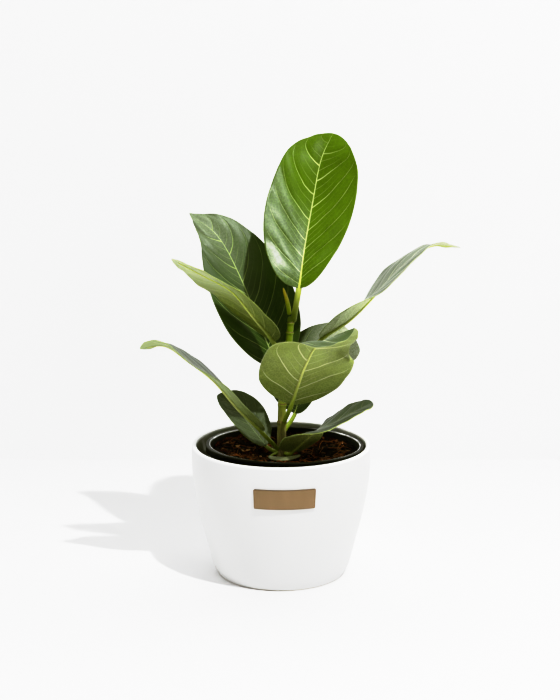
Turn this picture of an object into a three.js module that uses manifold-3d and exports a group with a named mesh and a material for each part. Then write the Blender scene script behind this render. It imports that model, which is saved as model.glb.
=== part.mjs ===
// A young rubber-plant cutting in its black nursery pot, stood inside a white ceramic pot cover.
// Units are millimetres, +Z is up, and the origin is the centre of the cover's flat underside.
// -Y is the front, where the name plate sits. The plant is one stem, one bud sheath and ten leaves;
// each leaf is a waved blade with a separate stalk that runs on below it as the raised midrib.

import * as THREE from 'three';
import { mergeVertices } from 'three/addons/utils/BufferGeometryUtils.js';
import Module from 'manifold-3d';

const wasm = await Module();
wasm.setup();

// ---- driving dimensions -------------------------------------------------------------------------

const GAP = 0.3;                 // clearance between two pieces that touch

// Ceramic pot cover: outer radius at each height of the wall.
const COVER_HEIGHT = 107.5;
const COVER_WALL = 3.8;
const COVER_FLOOR = 6;
const COVER_FLOOR_ROUND = 3;     // size of the curve between the floor and the wall, inside
const COVER_FOOT_ROUND = 1.5;
const COVER_OUTLINE = [[52.9, 1.5], [56.4, 9], [61.6, 29.5], [66.8, 50.5], [70.6, 71], [72.5, 88],
  [72.5, 105.6]];
const COVER_INSIDE_HEIGHTS = [86, 68, 50, 32, 17];
const COVER_OUTSIDE_STEPS = 9;
const COVER_SIDES = 48;

// Name plate: a thin brass strip bent round the front of the cover.
const PLATE_WIDTH = 48.3;
const PLATE_HEIGHT = 16;
const PLATE_THICKNESS = 1;
const PLATE_CORNER = 0.9;
const PLATE_CENTRE_HEIGHT = 81.9;
const PLATE_TURN = 2.2;          // degrees to the right of the front
const PLATE_STEPS = [16, 3];     // mesh steps along and up

// Nursery pot: thin black plastic, 13 cm across its rolled rim, stood slightly askew in the cover.
const NURSERY_PLACE = [1.7, -1.9, COVER_FLOOR + 1.8];
const NURSERY_LEAN = [-1.8, 0.8]; // degrees about X and about Y
const NURSERY_HEIGHT = 99;
const NURSERY_RIM_RADIUS = 64.4;
const NURSERY_TOP_RADIUS = 62;
const NURSERY_BASE_RADIUS = 45;
const NURSERY_WALL = 1.2;
const NURSERY_LIP = 5;           // height of the collar that stands out below the rim
const NURSERY_EDGE = 0.8;        // round of the rim's edges
const NURSERY_STEP = 1.5;        // height that the wall spends under the collar
const NURSERY_BEVEL = 2;
const NURSERY_SIDES = 40;
const DRAIN_HOLES = 6;
const DRAIN_RADIUS = 5;
const DRAIN_CIRCLE = 30;
const DRAIN_SIDES = 10;

// Potting mix: measured in the nursery pot's own frame.
const SOIL_DEPTH_BELOW_RIM = 11; // round the stem
const SOIL_WALL_RISE = 6;        // how much higher the mix stands at the wall than round the stem
const SOIL_WALL_GAP = 0.7;       // clearance from the nursery pot's tapered wall
const SOIL_ROUGHNESS = 1.1;
const SOIL_RINGS = 7;
const SOIL_SIDES = 30;
const CHIP_COUNT = 16;
const CHIP_LENGTH = 7;
const CHIP_PROUD = 0.3;          // height of a chip's middle over the mix
const CHIP_NEAREST = 16;         // least distance of a chip from the pot's middle
const CHIP_WALL_GAP = 12;        // least distance of a chip's middle from the nursery pot's wall
const CHIP_SEED = 17;

// Stem: from inside the potting mix up to the growing tip.
const STEM_ROUTE = [[0.5, 4, 60], [0.5, 4, 96], [0.5, 2, 122], [1.5, 1, 150], [6, 1, 188], [8, 2, 212]];
const STEM_BASE_RADIUS = 4.1;
const STEM_TIP_RADIUS = 2.6;
const NODE_RINGS = [0.42, 0.53, 0.64, 0.76, 0.88, 0.95];  // leaf scars, as shares of the route
const NODE_SWELL = 0.45;
const NODE_LENGTH = 0.012;       // half the length of a node's swelling, as a share of the route
const STEM_STEPS = 13;
const STEM_SIDES = 12;

// Bud sheath: the pointed red-green cover of the next leaf.
const BUD_ROUTE = [[6.8, 1, 214.5], [5, -1, 224], [1.6, -2.5, 236]];
const BUD_RADIUS = 2.3;
const BUD_SIDES = 10;
const BUD_STEPS = 9;

// Leaf build-up, alike for every leaf.
const BLADE_THICKNESS = 0.8;
const VEIN_RISE = 0.62;          // how far a side vein runs towards the tip, as a share of the length
const VEIN_RELIEF = 0.028;       // height of the cushion between two side veins, to the half width
const EDGE_WAVE = 0.022;         // height of the margin's waves, to the half width
const EDGE_WAVE_TURNS = 19;      // radians of wave along the margin
const BLADE_COLUMNS = 4;         // mesh columns on each side of the midrib
const BLADE_END_ROW = 0.018;     // place of the first and the last mesh row
const STALK_RADIUS = 1.8;
const MIDRIB_TIP_RADIUS = 0.45;
const MIDRIB_REACH = 0.88;       // share of the blade that the midrib keeps its body for
const MIDRIB_GAP = 0.45;         // clearance between the midrib and its blade
const STALK_SIDES = 7;
const STALK_STEPS = 13;

// The leaves, lowest first. Lists that follow a blade have evenly spaced stops from base to tip.
// route: the stalk's start in the stem, the blade's base, then points along the midrib to the tip.
// Pairs are for the left and the right half. half: its width. widest: the share of the length where
// it is widest. open and taper: how it opens from the base and closes to the tip, 0.5 for round and
// more for pointed. face: the way the upper side looks. fold: degrees that each half is lifted from
// flat. curl: degrees that a half bends further on its way to the margin. lean: how much steeper the
// right half's veins run. pairs: side veins on each side. thin: the stalk beside the usual one.
const LEAVES = [
  { name: 'soil_front', half: [3, 3.2], widest: [0.45, 0.45], open: [0.5, 0.5], taper: [0.5, 0.5],
    curl: -18, lean: 0, pairs: 4, thin: 0.55,
    route: [[-3, -2, 100.2], [-9, -12, 100], [-3, -19, 101], [6, -21, 101.9], [15.5, -20, 103]],
    face: [[0, -0.25, 1], [0, -0.3, 1], [-0.1, -0.35, 0.9]],
    fold: [-14, -24, -30] },
  { name: 'low_back_left', half: [14, 19], widest: [0.45, 0.55], open: [0.5, 0.5], taper: [0.75, 0.6],
    curl: 10, lean: 0, pairs: 5, thin: 0.8,
    route: [[-2, 2, 98], [-12, 5, 104], [-23, 13, 115], [-36, 22, 129], [-53, 31, 140]],
    face: [[0.4, -0.7, 0.55], [0.4, -0.7, 0.55], [0.35, -0.75, 0.55]],
    fold: [15, 10, 5] },
  { name: 'low_right', half: [19, 20], widest: [0.35, 0.32], open: [0.5, 0.5], taper: [0.4, 0.4],
    curl: 5, lean: 0, pairs: 5, thin: 0.85,
    route: [[3, 0, 98.5], [8, -4, 101], [18, -12, 112], [27, -18, 122], [42, -21, 130],
      [59, -21, 139.5], [73, -18, 146]],
    face: [[-0.55, 0.75, 0.4], [-0.55, 0.7, 0.45], [-0.5, 0.05, 0.85], [-0.45, -0.1, 0.9],
      [-0.35, -0.25, 0.9]],
    fold: [5, 5, 0, 5, 5] },
  { name: 'low_left', half: [19, 15], widest: [0.45, 0.45], open: [0.5, 0.5], taper: [0.6, 0.8],
    curl: 5, lean: 0, pairs: 6, thin: 0.95,
    route: [[-2, 2, 101], [-15, -9, 120], [-33, -15, 139], [-53, -20, 164], [-72, -24, 180],
      [-91, -26, 193.5], [-111, -26, 191.5]],
    face: [[0.7, 0.3, 0.65], [0.72, 0.22, 0.66], [0.65, 0.05, 0.75], [0.55, 0.08, 0.83],
      [0.1, 0.65, 0.75]],
    fold: [18, 14, 8, 8, 10] },
  { name: 'front', half: [37.5, 36], widest: [0.46, 0.4], open: [0.5, 0.5], taper: [0.52, 0.9],
    curl: 0, lean: 0, pairs: 4, thin: 1,
    route: [[2, 1, 124], [8, -14, 143], [13, -24, 161], [19, -35, 180], [27, -43, 197],
      [40, -50, 206], [56, -57, 214]],
    face: [[0, 0.7, 0.7], [-0.13, 0.82, 0.56], [-0.13, 0.82, 0.58], [-0.46, 0.42, 0.78],
      [-0.5, 0, 0.85]],
    fold: [10, 0, -3, -15, -35] },
  { name: 'back_right', half: [33, 18], widest: [0.5, 0.5], open: [0.5, 0.5], taper: [0.5, 0.5],
    curl: 5, lean: 0, pairs: 6, thin: 0.95,
    route: [[2, 3, 116], [11, 9, 130], [18, 18, 148], [31, 28, 166], [49, 35, 176], [65, 38, 179]],
    face: [[-0.4, -0.85, 0.35], [-0.35, -0.85, 0.4], [-0.15, -0.75, 0.65]],
    fold: [8, 5, 0] },
  { name: 'left', half: [22, 27], widest: [0.38, 0.38], open: [0.5, 0.5], taper: [0.7, 0.7],
    curl: 0, lean: 0, pairs: 6, thin: 1,
    route: [[4, 0, 175], [-6, -8, 194], [-23, -16, 217], [-39, -22, 237], [-61, -26, 250],
      [-85, -28, 263]],
    face: [[0.7, 0.6, 0.4], [0.6, 0.45, 0.65], [0.4, 0.45, 0.8]],
    fold: [8, -8, -5] },
  { name: 'back_left', half: [34, 37], widest: [0.38, 0.36], open: [1.05, 0.8], taper: [1.1, 1],
    curl: 5, lean: 0, pairs: 7, thin: 1,
    route: [[3, 4, 156], [-3, 8, 169], [-18, 17, 203], [-33, 27, 239], [-51, 36, 271],
      [-75, 43, 290]],
    face: [[0.3, -0.9, 0.2], [0.3, -0.8, 0.3], [0.2, -0.7, 0.5]],
    fold: [25, 10, 5] },
  { name: 'right', half: [25, 23], widest: [0.38, 0.4], open: [0.4, 0.5], taper: [0.85, 0.85],
    curl: 0, lean: 0, pairs: 6, thin: 1,
    route: [[8, 2, 171], [31, -1, 194], [55, -4, 211], [75, -7, 232], [95, -9, 254],
      [117, -9, 270], [141, -8, 269]],
    face: [[-0.65, 0.4, 0.65], [-0.65, 0.3, 0.7], [-0.65, -0.1, 0.75], [-0.6, 0.05, 0.8],
      [0, 0.35, 0.95]],
    fold: [14, 14, 4, 3, 5] },
  { name: 'top', half: [37.5, 34.5], widest: [0.42, 0.56], open: [0.5, 0.5], taper: [0.66, 0.52],
    curl: 6, lean: 0.12, pairs: 7, thin: 1.3,
    route: [[9.6, 3.2, 207], [14, -12, 237], [19, 6, 268.1], [25, 22, 299.3], [32, 35, 333.2],
      [42, 46, 354.5]],
    face: [[0, -1, 0.2], [0, -1, 0.4], [0, -0.5, 1]],
    fold: [12, 10, 4] },
];

// ---- materials ----------------------------------------------------------------------------------

function finish(color, roughness, metalness = 0) {
  return new THREE.MeshStandardMaterial({ color, roughness, metalness });
}

const ceramic = finish(0xededea, 0.42);
const brass = finish(0xa8824f, 0.4, 0.9);
const blackPlastic = finish(0x101012, 0.45);
const pottingMix = finish(0x241812, 0.95);
const bark = finish(0x6f7048, 0.7);
const budSkin = finish(0x9aa84a, 0.5);
const stalkGreen = finish(0x9aa544, 0.5);
const youngLeafGreen = finish(0x3f6b24, 0.35);
const leafGreen = finish(0x33502a, 0.4);

// ---- shared building functions ------------------------------------------------------------------

const root = new THREE.Group();

function addPiece(name, geometry, material, parent = root) {
  const piece = new THREE.Mesh(geometry, material);
  piece.name = name;
  parent.add(piece);
  return piece;
}

function vector(point) {
  return new THREE.Vector3(...point);
}

function curveThrough(points) {
  return new THREE.CatmullRomCurve3(points.map(vector), false, 'catmullrom', 0.5);
}

function geometryFrom(points, triangles) {
  const geometry = new THREE.BufferGeometry();
  geometry.setAttribute('position', new THREE.Float32BufferAttribute(points.flatMap(p => p.toArray()), 3));
  geometry.setIndex(triangles);
  geometry.computeVertexNormals();
  return geometry;
}

function solidFrom(geometry) {
  const bare = geometry.clone();
  bare.deleteAttribute('normal');
  bare.deleteAttribute('uv');
  const merged = mergeVertices(bare, 1e-4);
  const mesh = { numProp: 3, vertProperties: merged.attributes.position.array,
    triVerts: new Uint32Array(merged.index.array) };
  return new wasm.Manifold(new wasm.Mesh(mesh));
}

function geometryOf(solid) {
  const mesh = solid.getMesh();
  const geometry = new THREE.BufferGeometry();
  geometry.setAttribute('position', new THREE.BufferAttribute(new Float32Array(mesh.vertProperties), 3));
  geometry.setIndex(new THREE.BufferAttribute(new Uint32Array(mesh.triVerts), 1));
  geometry.computeVertexNormals();
  return geometry;
}

// Turns an outline of [radius, height] points round the Z axis.
function turned(outline, sides) {
  const profile = outline.map(([radius, height]) => new THREE.Vector2(radius, height));
  const geometry = new THREE.LatheGeometry(profile, sides);
  geometry.rotateX(Math.PI / 2);
  return geometry;
}

// Points of an arc round a centre, angles in degrees, without its first point.
function arcPoints(centre, radius, from, to, steps) {
  const points = [];
  for (let step = 1; step <= steps; step += 1) {
    const angle = THREE.MathUtils.degToRad(from + (to - from) * step / steps);
    points.push([centre[0] + radius * Math.cos(angle), centre[1] + radius * Math.sin(angle)]);
  }
  return points;
}

function evenShares(steps) {
  return Array.from({ length: steps + 1 }, (_, step) => step / steps);
}

// A rod of changing radius along a curve, with a ring at each share of its length.
function taperedRod(centreAt, radiusAt, sides, shares) {
  const points = [];
  const triangles = [];
  const steps = shares.length - 1;
  for (const share of shares) {
    const ahead = centreAt(Math.min(1, share + 0.01));
    const along = ahead.sub(centreAt(Math.max(0, share - 0.01))).normalize();
    const across = new THREE.Vector3(0, 1, 0).addScaledVector(along, -along.y).normalize();
    const third = new THREE.Vector3().crossVectors(along, across);
    for (let side = 0; side < sides; side += 1) {
      const angle = 2 * Math.PI * side / sides;
      points.push(centreAt(share)
        .addScaledVector(across, radiusAt(share) * Math.cos(angle))
        .addScaledVector(third, radiusAt(share) * Math.sin(angle)));
    }
  }
  for (let step = 0; step < steps; step += 1) {
    for (let side = 0; side < sides; side += 1) {
      const a = step * sides + side;
      const b = step * sides + (side + 1) % sides;
      triangles.push(a, b, b + sides, a, b + sides, a + sides);
    }
  }
  const start = points.push(centreAt(0)) - 1;
  const end = points.push(centreAt(1)) - 1;
  for (let side = 0; side < sides; side += 1) {
    const next = (side + 1) % sides;
    triangles.push(start, next, side);
    triangles.push(end, steps * sides + side, steps * sides + next);
  }
  return geometryFrom(points, triangles);
}

// A repeatable random number between 0 and 1.
function seededRandom(seed) {
  let state = seed;
  return () => {
    state = (state * 16807) % 2147483647;
    return state / 2147483647;
  };
}

// ---- pot cover and name plate -------------------------------------------------------------------

const coverWall = new THREE.SplineCurve(COVER_OUTLINE.map(point => new THREE.Vector2(...point)));

function coverRadiusAt(height) {
  let low = 0;
  let high = 1;
  for (let step = 0; step < 30; step += 1) {
    const middle = (low + high) / 2;
    if (coverWall.getPoint(middle).y < height) low = middle;
    else high = middle;
  }
  return coverWall.getPoint(low).x;
}

function coverGeometry() {
  const foot = COVER_FOOT_ROUND;
  const lip = COVER_WALL / 2;
  const rimRadius = COVER_OUTLINE.at(-1)[0] - lip;
  const outer = coverWall.getPoints(COVER_OUTSIDE_STEPS).map(point => [point.x, point.y]);
  const inner = COVER_INSIDE_HEIGHTS.map(height => [coverRadiusAt(height) - COVER_WALL, height]);
  const floorRadius = coverRadiusAt(COVER_FLOOR) - COVER_WALL - COVER_FLOOR_ROUND;
  return turned([
    [0, 0], [COVER_OUTLINE[0][0] - foot, 0],
    ...outer,
    ...arcPoints([rimRadius, COVER_HEIGHT - lip], lip, 0, 180, 5),
    ...inner,
    ...arcPoints([floorRadius, COVER_FLOOR + COVER_FLOOR_ROUND], COVER_FLOOR_ROUND, 0, -90, 2),
    [0, COVER_FLOOR],
  ], COVER_SIDES);
}

// The strip is a box in flat measures (along, height, depth) that is then wrapped on the wall.
function plateGeometry() {
  const geometry = new THREE.BoxGeometry(PLATE_WIDTH, PLATE_HEIGHT, PLATE_THICKNESS, ...PLATE_STEPS);
  const straight = PLATE_WIDTH / 2 - PLATE_CORNER;
  const position = geometry.attributes.position;
  for (let i = 0; i < position.count; i += 1) {
    const along = Math.sin(position.getX(i) / PLATE_WIDTH * Math.PI) * PLATE_WIDTH / 2;
    const past = Math.max(0, Math.abs(along) - straight);
    const drop = PLATE_CORNER - Math.sqrt(Math.max(0, PLATE_CORNER ** 2 - past ** 2));
    const height = position.getY(i) * (1 - 2 * drop / PLATE_HEIGHT) + PLATE_CENTRE_HEIGHT;
    const radius = coverRadiusAt(height) + GAP + PLATE_THICKNESS / 2 + position.getZ(i);
    const turn = THREE.MathUtils.degToRad(PLATE_TURN) + along / coverRadiusAt(PLATE_CENTRE_HEIGHT);
    position.setXYZ(i, radius * Math.sin(turn), -radius * Math.cos(turn), height);
  }
  return geometry;
}

// ---- nursery pot and potting mix, in the nursery pot's own frame ---------------------------------

function nurseryInnerRadius(height) {
  const share = height / NURSERY_HEIGHT;
  return THREE.MathUtils.lerp(NURSERY_BASE_RADIUS, NURSERY_TOP_RADIUS, share) - NURSERY_WALL;
}

function nurseryGeometry() {
  const top = NURSERY_HEIGHT;
  const collar = top - NURSERY_LIP;
  const rim = NURSERY_RIM_RADIUS;
  const edge = NURSERY_EDGE;
  const inside = nurseryInnerRadius(top);
  const shell = turned([
    [0, 0], [NURSERY_BASE_RADIUS - NURSERY_BEVEL, 0], [NURSERY_BASE_RADIUS, NURSERY_BEVEL],
    [NURSERY_TOP_RADIUS, collar + NURSERY_STEP], [rim - NURSERY_WALL, collar + NURSERY_STEP],
    [rim - NURSERY_WALL, collar], [rim, collar], [rim, top - edge],
    ...arcPoints([rim - edge, top - edge], edge, 0, 90, 2),
    [inside + edge, top], [inside, top - edge],
    [nurseryInnerRadius(NURSERY_WALL), NURSERY_WALL], [0, NURSERY_WALL],
  ], NURSERY_SIDES);
  let solid = solidFrom(shell);
  for (let hole = 0; hole < DRAIN_HOLES; hole += 1) {
    const angle = 2 * Math.PI * hole / DRAIN_HOLES;
    const drill = new THREE.CylinderGeometry(DRAIN_RADIUS, DRAIN_RADIUS, 3 * NURSERY_WALL, DRAIN_SIDES);
    drill.rotateX(Math.PI / 2);
    drill.translate(DRAIN_CIRCLE * Math.cos(angle), DRAIN_CIRCLE * Math.sin(angle), 0);
    solid = solid.subtract(solidFrom(drill));
  }
  return geometryOf(solid);
}

function soilHeightAt(x, y) {
  const lumps = Math.sin(x * 0.31 + 1) * Math.cos(y * 0.27) + 0.6 * Math.sin(x * 0.12 - y * 0.19);
  const rise = SOIL_WALL_RISE * THREE.MathUtils.smoothstep(Math.hypot(x, y), 18, 54);
  return NURSERY_HEIGHT - SOIL_DEPTH_BELOW_RIM + rise + SOIL_ROUGHNESS * lumps;
}

// The mix fills the nursery pot: an uneven top, and a wall that tapers to the pot's floor.
function soilBody() {
  const points = [];
  const triangles = [];
  const bottom = NURSERY_WALL + GAP;
  const top = NURSERY_HEIGHT - SOIL_DEPTH_BELOW_RIM + SOIL_WALL_RISE;
  const outside = nurseryInnerRadius(top) - SOIL_WALL_GAP;
  const shrink = (nurseryInnerRadius(bottom) - SOIL_WALL_GAP) / outside;
  for (let ring = 1; ring <= SOIL_RINGS; ring += 1) {
    for (let side = 0; side < SOIL_SIDES; side += 1) {
      const angle = 2 * Math.PI * (side + ring / 2) / SOIL_SIDES;
      const radius = outside * ring / SOIL_RINGS;
      const x = radius * Math.cos(angle);
      const y = radius * Math.sin(angle);
      points.push(new THREE.Vector3(x, y, soilHeightAt(x, y)));
    }
  }
  const rim = (SOIL_RINGS - 1) * SOIL_SIDES;
  for (let side = 0; side < SOIL_SIDES; side += 1) {
    const above = points[rim + side];
    points.push(new THREE.Vector3(above.x * shrink, above.y * shrink, bottom));
  }
  const middle = points.push(new THREE.Vector3(0, 0, soilHeightAt(0, 0))) - 1;
  const base = points.push(new THREE.Vector3(0, 0, bottom)) - 1;
  for (let side = 0; side < SOIL_SIDES; side += 1) {
    const next = (side + 1) % SOIL_SIDES;
    triangles.push(middle, side, next);
    for (let ring = 0; ring < SOIL_RINGS; ring += 1) {
      const a = ring * SOIL_SIDES;
      const b = a + SOIL_SIDES;
      triangles.push(a + side, b + side, b + next, a + side, b + next, a + next);
    }
    triangles.push(base, rim + SOIL_SIDES + next, rim + SOIL_SIDES + side);
  }
  return geometryFrom(points, triangles);
}

// Bits of bark and coir that lie half sunk in the top of the mix, clear of the stem and the wall.
function soilWithChips() {
  const random = seededRandom(CHIP_SEED);
  let solid = solidFrom(soilBody());
  for (let chip = 0; chip < CHIP_COUNT; chip += 1) {
    const farthest = NURSERY_TOP_RADIUS - CHIP_WALL_GAP;
    const radius = THREE.MathUtils.lerp(CHIP_NEAREST, farthest, Math.sqrt(random()));
    const angle = 2 * Math.PI * random();
    const length = CHIP_LENGTH * (0.6 + 0.8 * random());
    const shape = new THREE.CylinderGeometry(length * 0.16, length * 0.22, length, 5);
    shape.scale(1, 1, 0.6);
    shape.rotateZ(Math.PI / 2 + 0.3 * (random() - 0.5));
    shape.rotateZ(2 * Math.PI * random());
    const x = radius * Math.cos(angle);
    const y = radius * Math.sin(angle);
    shape.translate(x, y, soilHeightAt(x, y) + CHIP_PROUD);
    solid = solid.add(solidFrom(shape));
  }
  return solid;
}

// ---- stem and bud -------------------------------------------------------------------------------

const stemCurve = curveThrough(STEM_ROUTE);

function stemRadiusAt(share) {
  let radius = THREE.MathUtils.lerp(STEM_BASE_RADIUS, STEM_TIP_RADIUS, share);
  for (const node of NODE_RINGS) {
    radius += NODE_SWELL * Math.max(0, 1 - Math.abs(share - node) / NODE_LENGTH);
  }
  return radius;
}

// The stem, or with extra radius the sleeve that its neighbours are cut back to.
function stemGeometry(extra) {
  const shares = evenShares(STEM_STEPS);
  for (const node of NODE_RINGS) shares.push(node - NODE_LENGTH, node, node + NODE_LENGTH);
  shares.sort((a, b) => a - b);
  const radiusAt = share => stemRadiusAt(share) + extra;
  return taperedRod(share => stemCurve.getPoint(share), radiusAt, STEM_SIDES, shares);
}

function budGeometry() {
  const curve = curveThrough(BUD_ROUTE);
  const radiusAt = share => BUD_RADIUS * Math.sqrt(Math.max(0.002, 1 - share)) * (0.75 + 0.5 * share);
  return taperedRod(share => curve.getPoint(share), radiusAt, BUD_SIDES, evenShares(BUD_STEPS));
}

// ---- leaves -------------------------------------------------------------------------------------

// A smooth value at a share of the way through evenly spaced stops.
function alongStops(stops, share) {
  const last = stops.length - 1;
  const place = THREE.MathUtils.clamp(share, 0, 1) * last;
  const i = Math.min(Math.floor(place), last - 1);
  const t = place - i;
  const before = stops[Math.max(i - 1, 0)];
  const after = stops[Math.min(i + 2, last)];
  const leave = (stops[i + 1] - before) / 2;
  const arrive = (after - stops[i]) / 2;
  const step = stops[i + 1] - stops[i];
  return stops[i] + t * (leave + t * (3 * step - 2 * leave - arrive + t * (leave + arrive - 2 * step)));
}

// The leaf's centre line with its cross and face directions. share runs from 0 at the blade's base
// to 1 at its tip, and is negative along the stalk.
function leafFrame(leaf, share) {
  const first = 1 / (leaf.route.length - 1);
  const t = THREE.MathUtils.clamp(first + share * (1 - first), 0, 1);
  const curve = curveThrough(leaf.route);
  const centre = curve.getPoint(t);
  const along = curve.getPoint(Math.min(1, t + 0.01)).sub(curve.getPoint(Math.max(0, t - 0.01)));
  along.normalize();
  const face = vector([0, 1, 2].map(axis => alongStops(leaf.face.map(stop => stop[axis]), share)));
  face.addScaledVector(along, -face.dot(along)).normalize();
  const across = new THREE.Vector3().crossVectors(along, face);
  return { centre, across, face };
}

// The blade's width on the left or the right of the midrib.
function halfWidthAt(leaf, share, side) {
  const half = side < 0 ? 0 : 1;
  const open = leaf.open[half];
  const taper = leaf.taper[half];
  const peak = open / (open + taper);
  const along = THREE.MathUtils.clamp(share, 0, 1) ** (Math.log(peak) / Math.log(leaf.widest[half]));
  return leaf.half[half] * (along / peak) ** open * ((1 - along) / (1 - peak)) ** taper;
}

// A point of the blade. Rows follow the side veins: row runs from 0 at the base to 1 at the tip, and
// side from -1 at the left margin to 1 at the right one. lift is the height over the middle surface.
function bladePoint(leaf, row, side, lift) {
  const bow = row * (1 - row);
  const sideRise = VEIN_RISE + Math.sign(side) * leaf.lean;
  const share = row - VEIN_RISE * bow + (VEIN_RISE + sideRise) * bow * Math.abs(side) ** 1.2;
  const { centre, across, face } = leafFrame(leaf, share);
  const outward = across.multiplyScalar(Math.sign(side));
  const reach = Math.abs(side) * halfWidthAt(leaf, share, side);
  const start = THREE.MathUtils.degToRad(alongStops(leaf.fold, share));
  const bend = THREE.MathUtils.degToRad(leaf.curl + 0.01) / leaf.half[0];
  const slope = start + bend * reach;
  const betweenVeins = 1 - 2 * Math.abs(row * (leaf.pairs + 1) % 1 - 0.5);
  const cushion = VEIN_RELIEF * leaf.half[0] * betweenVeins * Math.sin(Math.PI * Math.abs(side));
  const ripple = Math.sin(row * EDGE_WAVE_TURNS + (side > 0 ? 0 : 2));
  const wave = EDGE_WAVE * leaf.half[0] * side * side * ripple;
  return centre
    .addScaledVector(outward, (Math.sin(slope) - Math.sin(start)) / bend - lift * Math.sin(slope))
    .addScaledVector(face, (Math.cos(start) - Math.cos(slope)) / bend + lift * Math.cos(slope))
    .addScaledVector(face, cushion + wave);
}

// A row on each side vein and one between each two, with an extra row close to the base and the tip.
function bladeRows(leaf) {
  const rows = [BLADE_END_ROW];
  const steps = 2 * (leaf.pairs + 1);
  for (let step = 1; step < steps; step += 1) rows.push(step / steps);
  rows.push(1 - BLADE_END_ROW);
  return rows;
}

// The blade is one thin body: an upper and a lower sheet, split into triangles alike, joined round
// the margin.
function bladeGeometry(leaf) {
  const rowShares = bladeRows(leaf);
  const rows = rowShares.length;
  const columns = 2 * BLADE_COLUMNS;
  const points = [];
  const sheet = rows * (columns + 1) + 2;
  for (const lift of [BLADE_THICKNESS / 2, -BLADE_THICKNESS / 2]) {
    for (const row of rowShares) {
      for (let column = 0; column <= columns; column += 1) {
        points.push(bladePoint(leaf, row, column / BLADE_COLUMNS - 1, lift));
      }
    }
    points.push(bladePoint(leaf, 0, 0, lift), bladePoint(leaf, 1, 0, lift));
  }
  const base = sheet - 2;
  const tip = sheet - 1;
  const upper = [];
  for (let column = 0; column < columns; column += 1) {
    const last = (rows - 1) * (columns + 1) + column;
    upper.push([base, column + 1, column], [tip, last, last + 1]);
    for (let row = 0; row < rows - 1; row += 1) {
      const a = row * (columns + 1) + column;
      const b = a + columns + 1;
      if (column < BLADE_COLUMNS) upper.push([a, a + 1, b + 1], [a, b + 1, b]);
      else upper.push([a, a + 1, b], [a + 1, b + 1, b]);
    }
  }
  const margin = [base];
  for (let row = 0; row < rows; row += 1) margin.push(row * (columns + 1) + columns);
  margin.push(tip);
  for (let row = rows - 1; row >= 0; row -= 1) margin.push(row * (columns + 1));
  const triangles = upper.flatMap(([a, b, c]) => [a, b, c]);
  for (const [a, b, c] of upper) triangles.push(sheet + a, sheet + c, sheet + b);
  margin.forEach((from, i) => {
    const to = margin[(i + 1) % margin.length];
    triangles.push(from, sheet + from, sheet + to, from, sheet + to, to);
  });
  return geometryFrom(points, triangles);
}

// The stalk runs from the stem to the blade and on below it as the midrib.
function stalkGeometry(leaf) {
  const start = -1 / (leaf.route.length - 2);
  const shareAt = along => THREE.MathUtils.lerp(start, MIDRIB_REACH, along);
  const radiusAt = along => {
    const blade = THREE.MathUtils.clamp(shareAt(along), 0, 1);
    return THREE.MathUtils.lerp(STALK_RADIUS * leaf.thin, MIDRIB_TIP_RADIUS, Math.sqrt(blade));
  };
  const centreAt = along => {
    const share = shareAt(along);
    const { centre, face } = leafFrame(leaf, share);
    const fold = THREE.MathUtils.degToRad(alongStops(leaf.fold, share));
    const below = BLADE_THICKNESS / 2 + (radiusAt(along) + MIDRIB_GAP) / Math.cos(fold);
    const joined = THREE.MathUtils.smoothstep(share, start, 0);
    return centre.addScaledVector(face, -below * joined);
  };
  return taperedRod(centreAt, radiusAt, STALK_SIDES, evenShares(STALK_STEPS));
}

// ---- assembly -----------------------------------------------------------------------------------

addPiece('pot_cover', coverGeometry(), ceramic);
addPiece('name_plate', plateGeometry(), brass);

const nursery = new THREE.Group();
nursery.position.set(...NURSERY_PLACE);
nursery.rotation.set(...NURSERY_LEAN.map(THREE.MathUtils.degToRad), 0);
nursery.updateMatrixWorld();
root.add(nursery);
addPiece('nursery_pot', nurseryGeometry(), blackPlastic, nursery);

const stemSleeve = stemGeometry(GAP);
const sleeveInPot = stemSleeve.clone().applyMatrix4(nursery.matrixWorld.clone().invert());
const soil = soilWithChips().subtract(solidFrom(sleeveInPot));
addPiece('potting_mix', geometryOf(soil), pottingMix, nursery);

addPiece('stem', stemGeometry(0), bark);
addPiece('bud_sheath', budGeometry(), budSkin);
for (const leaf of LEAVES) {
  const stalk = solidFrom(stalkGeometry(leaf)).subtract(solidFrom(stemSleeve));
  const green = leaf.name === 'top' ? youngLeafGreen : leafGreen;
  addPiece(`leaf_${leaf.name}_blade`, bladeGeometry(leaf), green);
  addPiece(`leaf_${leaf.name}_stalk`, geometryOf(stalk), stalkGreen);
}

export default root;
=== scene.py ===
import math
import random

import bmesh
import bpy
from mathutils import Matrix, Vector, noise


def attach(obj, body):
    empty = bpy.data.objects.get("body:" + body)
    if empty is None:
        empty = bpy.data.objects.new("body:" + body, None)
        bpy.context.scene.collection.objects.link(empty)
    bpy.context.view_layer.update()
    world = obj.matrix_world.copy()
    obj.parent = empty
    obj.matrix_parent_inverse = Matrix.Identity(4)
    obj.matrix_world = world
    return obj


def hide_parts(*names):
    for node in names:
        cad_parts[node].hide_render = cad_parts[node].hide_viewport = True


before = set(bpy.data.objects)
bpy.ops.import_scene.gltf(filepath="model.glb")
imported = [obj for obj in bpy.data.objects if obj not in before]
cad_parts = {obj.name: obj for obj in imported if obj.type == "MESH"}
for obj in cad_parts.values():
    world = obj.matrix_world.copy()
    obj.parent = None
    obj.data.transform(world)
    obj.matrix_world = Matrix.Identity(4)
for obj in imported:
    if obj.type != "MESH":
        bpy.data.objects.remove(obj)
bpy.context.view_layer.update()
MM = 0.001


# ---- camera --------------------------------------------------------------------------------------
# A long lens a little over a metre in front of the pot, looking down on the rim by twelve degrees.

LENS = 77.14
LOOK_DOWN = 11.93
CAMERA_PLACE = (-0.0009, -1.179, 0.434)

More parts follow.
